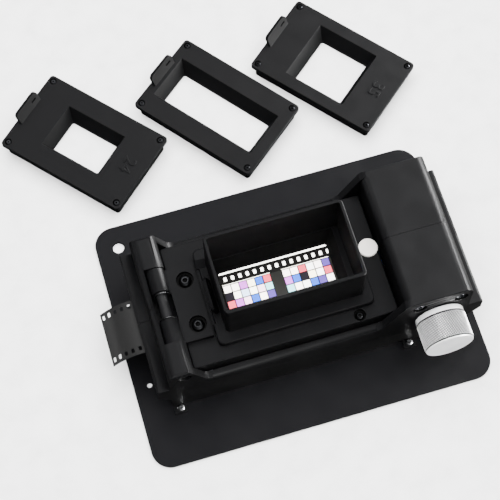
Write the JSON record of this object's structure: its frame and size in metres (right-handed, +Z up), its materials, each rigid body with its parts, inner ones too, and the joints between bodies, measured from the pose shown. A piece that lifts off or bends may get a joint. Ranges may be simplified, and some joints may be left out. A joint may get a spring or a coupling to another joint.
{
  "type": "film negative scanner",
  "caption": "Hand-wound film carrier for copying negatives with a camera: base plate, hinged lid with light hood, drop-in gates, film strip and winding knob.",
  "frame": {"origin": "on the optical axis of the fitted gate, at the underside of the base plate, which rests on the table", "axes": "+X along the film towards the knob's end, +Y across the film away from the knob, +Z up"},
  "size_m": [0.2799, 0.2872, 0.084],
  "materials": {
    "plate": "black anodised, satin",
    "housing": "black, fine matt texture",
    "lid": "black, satin",
    "hood": "black, satin",
    "gate": "black, fine matt texture",
    "leaf": "black, satin",
    "black_screw": "black oxide",
    "bright_screw": "zinc plated",
    "steel": "ground steel",
    "washer": "polished",
    "magnet": "nickel plated",
    "bush": "turned",
    "knob": "clear anodised, knurled",
    "tyre": "moulded",
    "roller": "white acetal",
    "tunnel": "white",
    "diffuser": "opal acrylic",
    "film": "colour slide film"
  },
  "bodies": {
    "carrier": {"base_plate": "plate", "housing_front": "housing", "housing_back": "housing", "foot_screws": "bright_screw", "block_screws": "black_screw", "film_bed": "housing", "diffuser": "diffuser", "light_tunnel": "tunnel", "tunnel_screws": "bright_screw", "bed_screws": "black_screw", "hinge_pin": "steel", "hinge_washers": "washer", "shaft_bushes": "bush", "pinch_axle": "steel", "latch_keeper": "steel"},
    "lid": {"lid_frame": "lid", "light_hood": "hood", "hood_screws": "black_screw", "hinge_leaf": "leaf", "leaf_screws": "black_screw", "lid_screws": "black_screw", "latch_magnet": "magnet", "gate_magnets": "magnet", "gate_mask": "gate", "gate_sill": "gate", "gate_screws": "black_screw"},
    "winder": {"knob": "knob", "knob_screw": "black_screw", "drive_shaft": "steel", "drive_tyres": "tyre", "shaft_collar": "steel"},
    "pinch": {"pinch_roller": "roller", "pinch_tyres": "tyre"},
    "film": {"film_strip": "film"},
    "spare_a": {"spare_a_mask": "gate", "spare_a_sill": "gate", "spare_a_screws": "black_screw"},
    "spare_b": {"spare_b_mask": "gate", "spare_b_sill": "gate", "spare_b_screws": "black_screw"},
    "spare_c": {"spare_c_mask": "gate", "spare_c_sill": "gate", "spare_c_screws": "black_screw"}
  },
  "joints": [
    {"name": "lid_hinge", "type": "hinge", "parent": "carrier", "child": "lid", "pos_m": [-0.0728, 0, 0.0532], "axis": [0, -1, 0], "range_deg": [0, 110]},
    {"name": "knob_turn", "type": "hinge", "parent": "carrier", "child": "winder", "pos_m": [0.086, 0, 0.04], "axis": [0, -1, 0], "range_deg": [-270, 208]},
    {"name": "pinch_turn", "type": "hinge", "parent": "carrier", "child": "pinch", "pos_m": [0.086, 0, 0.03], "axis": [0, -1, 0], "range_deg": [-262, 337]},
    {"name": "film_feed", "type": "slide", "parent": "carrier", "child": "film", "axis": [1, 0, 0], "range_m": [-0.026, 0.02]},
    {"name": "spare_a_lift", "type": "slide", "parent": "carrier", "child": "spare_a", "axis": [0, 0, 1], "range_m": [0, 0.06]},
    {"name": "spare_b_lift", "type": "slide", "parent": "carrier", "child": "spare_b", "axis": [0, 0, 1], "range_m": [0, 0.06]},
    {"name": "spare_c_lift", "type": "slide", "parent": "carrier", "child": "spare_c", "axis": [0, 0, 1], "range_m": [0, 0.06]}
  ],
  "couplings": [
    {"joint": "film_feed", "follows": "knob_turn", "m_per_rad": 0.0055},
    {"joint": "pinch_turn", "follows": "knob_turn", "ratio": -1.2222}
  ]
}
